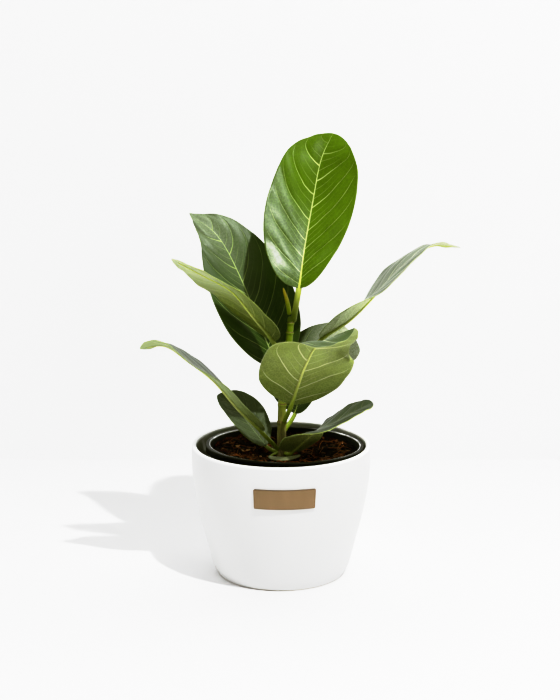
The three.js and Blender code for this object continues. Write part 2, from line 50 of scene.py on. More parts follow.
camera_data = bpy.data.cameras.new("camera")
camera_data.lens = LENS
camera_data.clip_start = 0.05
camera = bpy.data.objects.new("camera", camera_data)
camera.location = CAMERA_PLACE
camera.rotation_euler = (math.radians(90 - LOOK_DOWN), 0, 0)
bpy.context.scene.collection.objects.link(camera)
bpy.context.scene.camera = camera


# ---- pot cover -----------------------------------------------------------------------------------
# The outer pot is one slip-cast ceramic bowl with an almost upright shoulder and a round rim.
# It wears a white satin glaze and stands on a bare clay foot; its rim has a painted highlight.

COVER_HEIGHT = 107.5
COVER_WALL = 3.8
COVER_FLOOR = 6
COVER_FLOOR_ROUND = 3
COVER_OUTLINE = [(52.9, 1.5), (56.4, 9), (61.6, 29.5), (66.8, 50.5), (70.6, 71), (72.5, 88),
                 (72.5, 105.6)]
COVER_FOOT = [(0, 0), (20, 0), (44, 0), (51.4, 0), (52.4, 0.4)]
COVER_STEPS = 26
COVER_SIDES = 128


def along_stops(stops, share, run_on=0):
    """A smooth value or point at a share of the way through evenly spaced stops."""
    last = len(stops) - 1
    place = min(max(share, 0), 1) * last
    i = min(int(place), last - 1)
    t = place - i
    here, there = stops[i], stops[i + 1]
    before = stops[i - 1] if i > 0 else here + (here - there) * run_on
    after = stops[i + 2] if i + 2 <= last else there + (there - here) * run_on
    leave, arrive, step = (there - before) / 2, (after - here) / 2, there - here
    bend = step * 3 - leave * 2 - arrive + (leave + arrive - step * 2) * t
    return here + (leave + bend * t) * t


def cover_wall_point(share):
    return along_stops([Vector(point) for point in COVER_OUTLINE], share)


def cover_radius(height):
    """Radius of the wall's outside at a height, found by halving."""
    low, high = 0, 1
    for _ in range(30):
        middle = (low + high) / 2
        if cover_wall_point(middle).y < height:
            low = middle
        else:
            high = middle
    return cover_wall_point(low).x


def arc(centre, radius, start, end, steps):
    """Points of a round between two angles in degrees, from the start to the end."""
    turns = [math.radians(start + (end - start) * step / steps) for step in range(steps + 1)]
    return [(centre[0] + radius * math.cos(turn), centre[1] + radius * math.sin(turn))
            for turn in turns]


def turned(profile, sides):
    """A closed body turned about the upright axis from radii and heights in millimetres."""
    bm = bmesh.new()
    corners = [bm.verts.new((radius * MM, 0, height * MM)) for radius, height in profile]
    edges = [bm.edges.new(pair) for pair in zip(corners, corners[1:])]
    bmesh.ops.spin(bm, geom=corners + edges, cent=(0, 0, 0), axis=(0, 0, 1), angle=2 * math.pi,
                   steps=sides, use_merge=True)
    bmesh.ops.remove_doubles(bm, verts=bm.verts, dist=1e-6)
    bmesh.ops.recalc_face_normals(bm, faces=bm.faces)
    return bm


def piece_from(bm, name, *materials):
    """The finished mesh as an object of the part, shaded smooth."""
    mesh = bpy.data.meshes.new(name)
    for face in bm.faces:
        face.smooth = True
    bm.to_mesh(mesh)
    bm.free()
    for material in materials:
        mesh.materials.append(material)
    piece = bpy.data.objects.new(name, mesh)
    bpy.context.scene.collection.objects.link(piece)
    return piece


def tone(red, green, blue):
    """A colour given as 0 to 255 screen values, as the light it reflects."""
    shares = [value / 255 for value in (red, green, blue)]
    return [((s + 0.055) / 1.055) ** 2.4 if s > 0.04045 else s / 12.92 for s in shares] + [1]


def put(tree, kind, sockets=None, **settings):
    """Adds a node. A socket is given a plain value or another node's output."""
    node = tree.nodes.new(kind)
    for name, value in settings.items():
        setattr(node, name, value)
    for key, value in (sockets or {}).items():
        if isinstance(value, bpy.types.NodeSocket):
            tree.links.new(value, node.inputs[key])
        else:
            node.inputs[key].default_value = value
    return node


def calc(tree, operation, first, second=0.0, third=0.0):
    sockets = {0: first, 1: second, 2: third}
    return put(tree, "ShaderNodeMath", sockets, operation=operation).outputs[0]


def ramp(tree, value, low, high, from_value=0.0, to_value=1.0):
    """A soft step of the value between two levels."""
    sockets = {0: value, 1: low, 2: high, 3: from_value, 4: to_value}
    return put(tree, "ShaderNodeMapRange", sockets, interpolation_type="SMOOTHSTEP").outputs[0]


def mix(tree, share, first, second):
    sockets = {0: share, 6: first, 7: second}
    return put(tree, "ShaderNodeMix", sockets, data_type="RGBA").outputs[2]


def grain(tree, place, scale, detail=2.0, rough=0.5, stretch=(1, 1, 1)):
    """Cloudy noise with cells 1/scale long. A stretch below 1 draws them out along that axis."""
    mapped = put(tree, "ShaderNodeMapping", {0: place, 3: stretch}).outputs[0]
    return put(tree, "ShaderNodeTexNoise", {0: mapped, 2: scale, 3: detail, 4: rough}).outputs[0]


def bumps(tree, height, depth, strength=1.0):
    sockets = {"Height": height, "Distance": depth, "Strength": strength}
    return put(tree, "ShaderNodeBump", sockets).outputs[0]


def new_finish(name):
    """A new material with its shader, and where a point of the piece lies."""
    material = bpy.data.materials.new(name)
    material.use_nodes = True
    tree = material.node_tree
    return material, tree, tree.nodes["Principled BSDF"], put(tree, "ShaderNodeTexCoord")


white_glaze, tree, shader, coords = new_finish("white_glaze")
place = coords.outputs["Object"]
height = put(tree, "ShaderNodeSeparateXYZ", {0: place}).outputs[2]
pooled = grain(tree, place, 18, 3, 0.55)
specks = grain(tree, place, 900, 2, 0.7)
glaze = mix(tree, pooled, tone(214, 214, 213), tone(220, 220, 218))
glaze = mix(tree, ramp(tree, specks, 0.70, 0.78, 0, 0.3), glaze, tone(186, 184, 178))
flat_place = put(tree, "ShaderNodeVectorMath", {0: place, 1: (1, 1, 0)}, operation="MULTIPLY")
from_axis = put(tree, "ShaderNodeVectorMath", {0: flat_place.outputs[0]}, operation="LENGTH")
# Painted highlight: the top of the rim is painted whiter.
glaze = mix(tree, ramp(tree, height, 0.1050, 0.1072), glaze, tone(246, 246, 245))
# Painted shade: the inside of the wall below the rim is painted a darker grey.
painted_inner_shade = calc(tree, "MULTIPLY", ramp(tree, height, 0.1060, 0.1082, 1, 0),
                  ramp(tree, from_axis.outputs[1], 0.0693, 0.0701, 1, 0))
painted_inner_shade = calc(tree, "MULTIPLY", painted_inner_shade, ramp(tree, height, 0.078, 0.080))
glaze = mix(tree, painted_inner_shade, glaze, tone(150, 150, 143))
uneven_height = calc(tree, "ADD", height, calc(tree, "MULTIPLY", pooled, 0.0006))
bare_foot = ramp(tree, uneven_height, 0.0008, 0.0012, 1, 0)
glaze = mix(tree, bare_foot, glaze, tone(214, 204, 188))
tree.links.new(glaze, shader.inputs["Base Color"])
roughness = calc(tree, "MULTIPLY_ADD", pooled, 0.12, 0.34)
roughness = calc(tree, "MAXIMUM", roughness, calc(tree, "MULTIPLY", bare_foot, 0.85))
tree.links.new(roughness, shader.inputs["Roughness"])
pinholes = calc(tree, "MULTIPLY", specks, 0.12)
waves = calc(tree, "MULTIPLY_ADD", grain(tree, place, 55, 2), 0.7, pinholes)
tree.links.new(bumps(tree, waves, 0.0004, 0.35), shader.inputs["Normal"])

lip = COVER_WALL / 2
rim_radius = COVER_OUTLINE[-1][0] - lip
floor_radius = cover_radius(COVER_FLOOR) - COVER_WALL - COVER_FLOOR_ROUND
cover_profile = COVER_FOOT + [tuple(cover_wall_point(step / COVER_STEPS))
                              for step in range(COVER_STEPS + 1)]
cover_profile += arc((rim_radius, COVER_HEIGHT - lip), lip, 0, 180, 12)[1:]
cover_profile += [(cover_radius(inside) - COVER_WALL, inside) for inside in range(100, 12, -6)]
cover_profile += arc((floor_radius, COVER_FLOOR + COVER_FLOOR_ROUND), COVER_FLOOR_ROUND, 0, -90, 5)
cover_profile += [(30, COVER_FLOOR), (0, COVER_FLOOR)]
pot_cover = piece_from(turned(cover_profile, COVER_SIDES), "pot_cover_glazed", white_glaze)
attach(pot_cover, "root")
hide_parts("pot_cover")


# ---- name plate ----------------------------------------------------------------------------------
# A strip of brushed brass, bent to the wall and stuck on with a thin film of glue. Its face is left
# bare. The edges are broken by a small bevel and are coloured a little darker.

PLATE_WIDTH = 48.3
PLATE_HEIGHT = 16
PLATE_CENTRE = 81.9
PLATE_TURN = math.radians(2.2)
PLATE_BACK = 0.05
PLATE_FRONT = 1.3
PLATE_CORNER = 0.9
PLATE_BEVEL = 0.22
PLATE_BENDS = 40

brushed_brass, tree, shader, coords = new_finish("brushed_brass")
flat = coords.outputs["UV"]
place = coords.outputs["Object"]
brushing = grain(tree, flat, 60, 3, 0.7, (1, 34, 1))
clouds = grain(tree, place, 70, 3, 0.6)
brass = mix(tree, clouds, tone(146, 127, 100), tone(172, 151, 122))
brass = mix(tree, ramp(tree, brushing, 0.42, 0.6), brass, tone(96, 72, 46))
across_up = put(tree, "ShaderNodeSeparateXYZ", {0: flat})
edge_up = calc(tree, "ABSOLUTE", calc(tree, "SUBTRACT", across_up.outputs[1], 0.5))
edge_along = calc(tree, "ABSOLUTE", calc(tree, "SUBTRACT", across_up.outputs[0], 0.5))
# The edges and ends of the plate are coloured a little darker.
darker_edges = calc(tree, "MAXIMUM", ramp(tree, edge_up, 0.44, 0.5), ramp(tree, edge_along, 0.485, 0.5))
darker_edges = calc(tree, "MULTIPLY", darker_edges, calc(tree, "MULTIPLY_ADD", clouds, 0.6, 0.25))
tree.links.new(mix(tree, darker_edges, brass, tone(84, 56, 36)), shader.inputs["Base Color"])
shader.inputs["Metallic"].default_value = 0.6
tree.links.new(calc(tree, "MULTIPLY_ADD", brushing, 0.22, 0.36), shader.inputs["Roughness"])
tree.links.new(bumps(tree, brushing, 0.00006, 0.5), shader.inputs["Normal"])

bm = bmesh.new()
bmesh.ops.create_cube(bm, size=1)
bmesh.ops.scale(bm, verts=bm.verts, vec=(PLATE_WIDTH, PLATE_FRONT - PLATE_BACK, PLATE_HEIGHT))
through = [edge for edge in bm.edges if abs(edge.verts[0].co.y - edge.verts[1].co.y) > 0.5]
bmesh.ops.bevel(bm, geom=through, offset=PLATE_CORNER, affect="EDGES", segments=6, profile=0.5,
                material=-1)
front_edges = [edge for edge in bm.edges if all(corner.co.y < 0 for corner in edge.verts)]
bmesh.ops.bevel(bm, geom=front_edges, offset=PLATE_BEVEL, affect="EDGES", segments=3, profile=0.5,
                material=-1)
for step in range(1, PLATE_BENDS):
    cut = PLATE_WIDTH * (step / PLATE_BENDS - 0.5)
    everything = bm.verts[:] + bm.edges[:] + bm.faces[:]
    bmesh.ops.bisect_plane(bm, geom=everything, dist=1e-5, plane_co=(cut, 0, 0), plane_no=(1, 0, 0))
layer = bm.loops.layers.uv.verify()
for face in bm.faces:
    for loop in face.loops:
        loop[layer].uv = (loop.vert.co.x / PLATE_WIDTH + 0.5, loop.vert.co.z / PLATE_HEIGHT + 0.5)
for corner in bm.verts:
    up = PLATE_CENTRE + corner.co.z
    turn = PLATE_TURN + corner.co.x / cover_radius(PLATE_CENTRE)
    radius = cover_radius(up) + (PLATE_FRONT + PLATE_BACK) / 2 - corner.co.y
    corner.co = Vector((radius * math.sin(turn), -radius * math.cos(turn), up)) * MM
name_plate = piece_from(bm, "name_plate_bare", brushed_brass)
name_plate.modifiers.new("even_shading", "WEIGHTED_NORMAL")
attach(name_plate, "root")
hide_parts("name_plate")


# ---- nursery pot ---------------------------------------------------------------------------------
# The plant still stands in its thin black grow pot, blown from polypropylene with a turned-out
# collar. It leans a little in the cover, and the inner edge of its rim has a painted highlight.

NURSERY_HEIGHT = 99
NURSERY_WALL = 1.2
NURSERY_FOOT_RADIUS = 45
NURSERY_FOOT_ROUND = 2
NURSERY_TOP_RADIUS = 62
NURSERY_SIDES = 96
COLLAR_HEIGHT = 5
COLLAR_STEP_RADIUS = 63.2
COLLAR_RADIUS = 64.4
LIP_ROUND = 0.8
HIGHLIGHT_WIDTH = 0.7
NURSERY_PLACE = (Matrix.Translation(Vector((1.7, -1.9, 7.8)) * MM)
                 @ Matrix.Rotation(math.radians(-1.8), 4, "X")
                 @ Matrix.Rotation(math.radians(0.8), 4, "Y"))

black_plastic, tree, shader, coords = new_finish("black_moulded_plastic")
place = coords.outputs["Object"]
dust = grain(tree, place, 120, 4, 0.65)
leather = grain(tree, place, 1600, 2, 0.6)
plastic = mix(tree, ramp(tree, dust, 0.55, 0.8, 0, 0.35), tone(3, 3, 3), tone(30, 28, 25))
tree.links.new(plastic, shader.inputs["Base Color"])
tree.links.new(calc(tree, "MULTIPLY_ADD", dust, 0.25, 0.34), shader.inputs["Roughness"])
shader.inputs["Specular IOR Level"].default_value = 0.12
tree.links.new(bumps(tree, leather, 0.0001, 0.3), shader.inputs["Normal"])

# A highlight is painted pale on the inner edge of the collar, at its left and right sides.
painted_lip_highlight, tree, shader, coords = new_finish("painted_lip_highlight")
place = coords.outputs["Object"]
sideways = calc(tree, "ABSOLUTE", put(tree, "ShaderNodeSeparateXYZ", {0: place}).outputs[0])
highlight_mask = calc(tree, "MULTIPLY", ramp(tree, grain(tree, place, 90, 3, 0.6), 0.3, 0.55, 0.4, 1),
               ramp(tree, sideways, 0.02, 0.048))
highlight_tone = mix(tree, highlight_mask, tone(10, 10, 10), tone(226, 226, 224))
tree.links.new(highlight_tone, shader.inputs["Base Color"])
shader.inputs["Roughness"].default_value = 0.4


def nursery_inside(height):
    widening = (NURSERY_TOP_RADIUS - NURSERY_FOOT_RADIUS) * height / NURSERY_HEIGHT
    return NURSERY_FOOT_RADIUS + widening - NURSERY_WALL


collar = NURSERY_HEIGHT - COLLAR_HEIGHT
inside = nursery_inside(NURSERY_HEIGHT)
lip_middle = NURSERY_HEIGHT - LIP_ROUND
foot = NURSERY_FOOT_RADIUS - NURSERY_FOOT_ROUND
nursery_profile = [(0, 0), (20, 0), (foot, 0)]
nursery_profile += arc((foot, NURSERY_FOOT_ROUND), NURSERY_FOOT_ROUND, -90, 0, 4)
nursery_profile += [(NURSERY_TOP_RADIUS, collar + 1.5), (COLLAR_STEP_RADIUS, collar + 1.5),
                    (COLLAR_STEP_RADIUS, collar), (COLLAR_RADIUS, collar)]
nursery_profile += arc((COLLAR_RADIUS - LIP_ROUND, lip_middle), LIP_ROUND, 0, 90, 4)
nursery_profile += arc((inside + LIP_ROUND, lip_middle), LIP_ROUND, 90, 180, 4)
nursery_profile += [(nursery_inside(up), up) for up in (90, 60, 30, 3)]
nursery_profile += [(nursery_inside(NURSERY_WALL) - 1.5, NURSERY_WALL), (20, NURSERY_WALL),
                    (0, NURSERY_WALL)]
bm = turned(nursery_profile, NURSERY_SIDES)
for face in bm.faces:
    middle = face.calc_center_median() / MM
    if middle.z > NURSERY_HEIGHT - HIGHLIGHT_WIDTH and middle.xy.length < inside + HIGHLIGHT_WIDTH:
        face.material_index = 1
bmesh.ops.transform(bm, matrix=NURSERY_PLACE, verts=bm.verts)
nursery_pot = piece_from(bm, "nursery_pot_plastic", black_plastic, painted_lip_highlight)
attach(nursery_pot, "root")
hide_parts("nursery_pot")


# ---- potting mix ---------------------------------------------------------------------------------
# Damp peat fills the nursery pot to a finger's width below its rim. Shreds of coconut fibre and
# chips of bark lie in its top, most of them red-brown and a few split ones pale.

SOIL_TOP = NURSERY_HEIGHT - 11
SOIL_BOTTOM = 2
SOIL_GAP = 0.7
WALL_RISE = 6
RISE_START = 18
RISE_WIDTH = 36
SWELL = 1.1
SOIL_SIDES = 180
SOIL_ROWS = 100
TOP_ROWS = 0.8
WALL_ROWS = 0.9


def soil_height(x, y):
    """Height of the top at a place in the nursery pot's frame. The mix creeps up at the wall."""
    rise = min(max((math.hypot(x, y) - RISE_START) / RISE_WIDTH, 0), 1)
    rise *= rise * (3 - 2 * rise) * WALL_RISE
    waves = math.sin(0.31 * x + 1) * math.cos(0.27 * y) + 0.6 * math.sin(0.12 * x - 0.19 * y)
    return SOIL_TOP + rise + SWELL * waves


def wrapped_grid(columns, rows, place, bm=None):
    """A grid with its own map, each corner moved to place(across, along), both from 0 to 1."""
    bm = bm or bmesh.new()
    bm.loops.layers.uv.verify()
    made = bmesh.ops.create_grid(bm, x_segments=columns, y_segments=rows, size=1, calc_uvs=True)
    for corner in made["verts"]:
        corner.co = place((corner.co.x + 1) / 2, (corner.co.y + 1) / 2)
    bmesh.ops.remove_doubles(bm, verts=made["verts"], dist=1e-6)
    return bm


damp_mix, tree, shader, coords = new_finish("damp_potting_mix")
place = coords.outputs["Object"]
lumps = grain(tree, place, 260, 5, 0.7)
crumbs = grain(tree, place, 900, 4, 0.75)
patches = grain(tree, place, 45, 3, 0.6)
peat = mix(tree, ramp(tree, lumps, 0.35, 0.7), tone(3, 2, 2), tone(20, 7, 4))
red_crumbs = ramp(tree, calc(tree, "MULTIPLY", crumbs, patches), 0.27, 0.42)
peat = mix(tree, red_crumbs, peat, tone(96, 42, 20))
tree.links.new(peat, shader.inputs["Base Color"])
tree.links.new(ramp(tree, crumbs, 0.3, 0.7, 0.95, 0.7), shader.inputs["Roughness"])
shader.inputs["Specular IOR Level"].default_value = 0.02
soil_relief = calc(tree, "MULTIPLY_ADD", crumbs, 0.5, lumps)
tree.links.new(bumps(tree, soil_relief, 0.0018, 0.9), shader.inputs["Normal"])


def soil_point(across, along):
    """The rows run out over the lumpy top, then down the wall, then in over the pot's floor."""
    turn = 2 * math.pi * across
    radius = min(along / TOP_ROWS, 1) * (nursery_inside(SOIL_TOP + WALL_RISE) - SOIL_GAP)
    x, y = radius * math.cos(turn), radius * math.sin(turn)
    up = soil_height(x, y)
    for lump_height, lumps_per_mm in ((1.5, 0.23), (1.1, 0.6), (0.5, 1.3)):
        up += lump_height * noise.noise(Vector((x, y, 0)) * lumps_per_mm)
    if along > TOP_ROWS:
        up += (SOIL_BOTTOM - up) * min((along - TOP_ROWS) / (WALL_ROWS - TOP_ROWS), 1)
        radius = nursery_inside(min(up, SOIL_TOP + WALL_RISE)) - SOIL_GAP
        radius *= 1 - max((along - WALL_ROWS) / (1 - WALL_ROWS), 0)
        x, y = radius * math.cos(turn), radius * math.sin(turn)
    return NURSERY_PLACE @ (Vector((x, y, up)) * MM)


bm = wrapped_grid(SOIL_SIDES, SOIL_ROWS, soil_point)
bmesh.ops.recalc_face_normals(bm, faces=bm.faces)
potting_mix = piece_from(bm, "potting_mix_peat", damp_mix)
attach(potting_mix, "root")
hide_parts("potting_mix")

coir, tree, shader, coords = new_finish("coconut_fibre")
place = coords.outputs["Object"]
strands = grain(tree, place, 150, 3, 0.6)
husk = mix(tree, ramp(tree, strands, 0.35, 0.65), tone(58, 27, 10), tone(130, 70, 33))
tree.links.new(husk, shader.inputs["Base Color"])
tree.links.new(ramp(tree, strands, 0.3, 0.7, 0.85, 0.6), shader.inputs["Roughness"])
shader.inputs["Specular IOR Level"].default_value = 0.15
tree.links.new(bumps(tree, grain(tree, place, 2500, 2), 0.0002), shader.inputs["Normal"])

COIR_COUNT = 150
COIR_LENGTHS = (6, 20)
COIR_ARCHES = (0.2, 2.6)
COIR_RADII = (0.12, 0.4)
COIR_SWAYS = (-2.5, 2.5)
scatter = random.Random(23)


def spot_on_soil(nearest, farthest):
    """A place in the nursery pot's frame, away from the stem and the wall."""
    turn = scatter.uniform(0, 2 * math.pi)
    radius = math.sqrt(scatter.uniform(nearest ** 2, farthest ** 2))
    return radius * math.cos(turn), radius * math.sin(turn)


def strand_point(start, heading, length, arch, radius, sway):
    """The place function of one fibre that lies on the mix and arches up a little."""
    sideways = Vector((-heading.y, heading.x, 0))
    farthest = RISE_START + RISE_WIDTH

    def place(across, along):
        middle = start + heading * length * (along - 0.5) + sideways * sway * math.sin(3 * along)
        reach = min(middle.to_2d().length, farthest) / max(middle.to_2d().length, 0.01)
        x, y = middle.x * reach, middle.y * reach
        up = soil_height(x, y) + 0.2 + arch * math.sin(math.pi * along)
        thick = radius * math.sqrt(max(1 - (2 * along - 1) ** 2, 0))
        turn = 2 * math.pi * across
        ring = sideways * math.cos(turn) * thick + Vector((0, 0, math.sin(turn) * thick))
        return NURSERY_PLACE @ ((Vector((x, y, up)) + ring) * MM)
    return place


bm = bmesh.new()
for _ in range(COIR_COUNT):
    x, y = spot_on_soil(8, 52)
    turn = scatter.uniform(0, math.pi)
    heading = Vector((math.cos(turn), math.sin(turn), 0))
    length, arch = scatter.uniform(*COIR_LENGTHS), scatter.uniform(*COIR_ARCHES)
    radius, sway = scatter.uniform(*COIR_RADII), scatter.uniform(*COIR_SWAYS)
    wrapped_grid(5, 9, strand_point(Vector((x, y, 0)), heading, length, arch, radius, sway), bm)
bmesh.ops.recalc_face_normals(bm, faces=bm.faces)
coir_strands = piece_from(bm, "potting_mix_coir", coir)
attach(coir_strands, "root")
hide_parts("potting_mix")

bark_chip, tree, shader, coords = new_finish("bark_chip")
place = coords.outputs["Object"]
cells = put(tree, "ShaderNodeTexVoronoi", {0: place, 2: 110}).outputs[1]
pick = put(tree, "ShaderNodeSeparateColor", {0: cells}).outputs[0]
streaks = grain(tree, place, 700, 4, 0.7, (1, 1, 0.3))
chip_tone = mix(tree, ramp(tree, pick, 0.2, 0.9), tone(34, 18, 11), tone(92, 50, 28))
chip_tone = mix(tree, ramp(tree, pick, 0.9, 0.93), chip_tone, tone(196, 146, 108))
chip_tone = mix(tree, ramp(tree, streaks, 0.5, 0.7, 0, 0.6), chip_tone, tone(40, 22, 14))
tree.links.new(chip_tone, shader.inputs["Base Color"])
shader.inputs["Roughness"].default_value = 0.8
shader.inputs["Specular IOR Level"].default_value = 0.15
tree.links.new(bumps(tree, streaks, 0.0005, 0.8), shader.inputs["Normal"])

CHIP_COUNT = 230
CHIP_SIZES = ((1.2, 4.6), (0.8, 2.2), (0.5, 1.3))

bm = bmesh.new()
for _ in range(CHIP_COUNT):
    x, y = spot_on_soil(9, 53)
    size = Vector([scatter.uniform(*least_most) for least_most in CHIP_SIZES])
    up = soil_height(x, y) + scatter.uniform(-0.1, 0.9)
    turn = (Matrix.Rotation(scatter.uniform(0, 6.3), 4, "Z")
            @ Matrix.Rotation(scatter.uniform(-0.5, 0.5), 4, "X")
            @ Matrix.Rotation(scatter.uniform(-0.4, 0.4), 4, "Y"))
    placed = (NURSERY_PLACE @ Matrix.Translation(Vector((x, y, up)) * MM) @ turn
              @ Matrix.Diagonal((*(size * MM), 1)))
    made = bmesh.ops.create_icosphere(bm, subdivisions=1, radius=0.6)
    for corner in made["verts"]:
        corner.co *= scatter.uniform(0.75, 1.25)
    bmesh.ops.transform(bm, matrix=placed, verts=made["verts"])
chips = piece_from(bm, "potting_mix_chips", bark_chip)
for face in chips.data.polygons:
    face.use_smooth = False
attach(chips, "root")
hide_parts("potting_mix")


# ---- stem ----------------------------------------------------------------------------------------
# One upright stem, corky and grey-brown at the foot and green further up. Each leaf, also those
# that have fallen, leaves a swollen node with a brown scar ring.

STEM_ROUTE = [(0.5, 4, 60), (0.5, 4, 96), (0.5, 2, 122), (1.5, 1, 150), (6, 1, 188), (8, 2, 212)]
STEM_NODES = [0.42, 0.53, 0.64, 0.76, 0.88, 0.95]
STEM_FOOT_RADIUS = 4.1
STEM_TOP_RADIUS = 2.6
NODE_SWELL = 0.5
NODE_SPREAD = 0.009
SCAR_DEPTH = 0.18
SCAR_ABOVE_NODE = 0.011
SCAR_SPREAD = 0.004
STEM_SIDES = 28
STEM_ROWS = 260


def in_metres(points):
    return [Vector(point) * MM for point in points]


def rod_point(centre_at, radius_at, first_side=Vector((1, 0, 0))):
    """The place function of a round rod along a centre line, closed to a point at both ends."""
    def place(across, along):
        ahead = centre_at(min(along + 0.004, 1)) - centre_at(max(along - 0.004, 0))
        side = (first_side - ahead * first_side.dot(ahead) / ahead.length_squared).normalized()
        other = ahead.cross(side).normalized()
        turn = 2 * math.pi * across
        outward = side * math.cos(turn) + other * math.sin(turn)
        return centre_at(along) + outward * radius_at(along)
    return place


def blunt(along, cap):
    """Narrows a rod to nothing at its two ends, over a round cap."""
    from_end = min(along, 1 - along) / cap
    return math.sqrt(max(0, 1 - (1 - min(from_end, 1)) ** 2))


def stem_radius(along):
    radius = STEM_FOOT_RADIUS + (STEM_TOP_RADIUS - STEM_FOOT_RADIUS) * along
    for node in STEM_NODES:
        radius += NODE_SWELL * math.exp(-((along - node) / NODE_SPREAD) ** 2)
        radius -= SCAR_DEPTH * math.exp(-((along - node - SCAR_ABOVE_NODE) / SCAR_SPREAD) ** 2)
    return radius * MM * blunt(along, 0.012)


stem_bark, tree, shader, coords = new_finish("stem_bark")
place = coords.outputs["Object"]
height = put(tree, "ShaderNodeSeparateXYZ", {0: place}).outputs[2]
along_stem = put(tree, "ShaderNodeSeparateXYZ", {0: coords.outputs["UV"]}).outputs[1]
fissures = grain(tree, place, 900, 4, 0.7, (1, 1, 0.12))
mottle = grain(tree, place, 160, 3, 0.6)
ripening = ramp(tree, calc(tree, "MULTIPLY_ADD", mottle, 0.03, height), 0.118, 0.175)
skin = mix(tree, ripening, tone(146, 138, 80), tone(120, 140, 14))
skin = mix(tree, ramp(tree, height, 0.10, 0.125, 0.75, 0), skin, tone(172, 156, 116))
cracks = calc(tree, "MULTIPLY", ramp(tree, fissures, 0.52, 0.68),
              calc(tree, "MULTIPLY_ADD", ripening, -0.7, 0.9))
skin = mix(tree, cracks, skin, tone(66, 56, 34))
scars = None
for node in STEM_NODES:
    away = calc(tree, "ABSOLUTE", calc(tree, "SUBTRACT", along_stem, node + 0.008))
    ring = ramp(tree, calc(tree, "MULTIPLY_ADD", mottle, 0.002, away), 0.0025, 0.0055, 0.75, 0)
    scars = ring if scars is None else calc(tree, "MAXIMUM", scars, ring)
skin = mix(tree, scars, skin, tone(92, 52, 32))
tree.links.new(skin, shader.inputs["Base Color"])
tree.links.new(ramp(tree, ripening, 0, 1, 0.75, 0.45), shader.inputs["Roughness"])
bark_relief = calc(tree, "SUBTRACT", mottle, calc(tree, "MULTIPLY", cracks, 0.8))
tree.links.new(bumps(tree, bark_relief, 0.0004, 0.7), shader.inputs["Normal"])

stem_route = in_metres(STEM_ROUTE)
stem_point = rod_point(lambda along: along_stops(stem_route, along, 1), stem_radius)
bm = wrapped_grid(STEM_SIDES, STEM_ROWS, stem_point)
bmesh.ops.recalc_face_normals(bm, faces=bm.faces)
stem = piece_from(bm, "stem_with_nodes", stem_bark)
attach(stem, "root")
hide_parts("stem")


# ---- bud sheath ----------------------------------------------------------------------------------
# The next leaf is rolled up in a pointed sheath at the top of the stem. It is thin and waxy, ribbed
# along its length, and reddish where the ribs are raised.

BUD_ROUTE = [(6.8, 1, 213.5), (5, -1, 224), (1.6, -2.5, 236)]
BUD_RADIUS = 2.3
BUD_SIDES = 20
BUD_ROWS = 48

bud_skin, tree, shader, coords = new_finish("bud_skin")
round_and_up = put(tree, "ShaderNodeSeparateXYZ", {0: coords.outputs["UV"]})
ribs = grain(tree, coords.outputs["UV"], 6, 3, 0.6, (4, 1, 1))
sheath_tone = mix(tree, ramp(tree, round_and_up.outputs[1], 0.25, 0.95),
                  tone(186, 204, 24), tone(214, 190, 34))
sheath_tone = mix(tree, ramp(tree, ribs, 0.5, 0.7, 0, 0.5), sheath_tone, tone(170, 110, 30))
tree.links.new(sheath_tone, shader.inputs["Base Color"])
tree.links.new(ramp(tree, ribs, 0.3, 0.7, 0.35, 0.5), shader.inputs["Roughness"])
tree.links.new(bumps(tree, ribs, 0.0004, 0.6), shader.inputs["Normal"])

bud_route = in_metres(BUD_ROUTE)


def bud_radius(along):
    """The sheath swells quickly at its foot, then tapers to a point."""
    swell = min(1, math.sqrt(along / 0.04))
    return BUD_RADIUS * MM * math.sqrt(max(0, 1 - along)) * (0.75 + 0.5 * along) * swell


bud_point = rod_point(lambda along: along_stops(bud_route, along, 1), bud_radius)
bm = wrapped_grid(BUD_SIDES, BUD_ROWS, bud_point)
bmesh.ops.recalc_face_normals(bm, faces=bm.faces)
bud_sheath = piece_from(bm, "bud_sheath_rolled", bud_skin)
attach(bud_sheath, "root")
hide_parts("bud_sheath")


# ---- leaves --------------------------------------------------------------------------------------
# Ten thick, leathery leaves stand round the stem. Each is a waxy blade that is folded a little at
# its midrib, with side veins that run to the margin and turn forward there. The stalk runs on under
# the blade as the midrib.

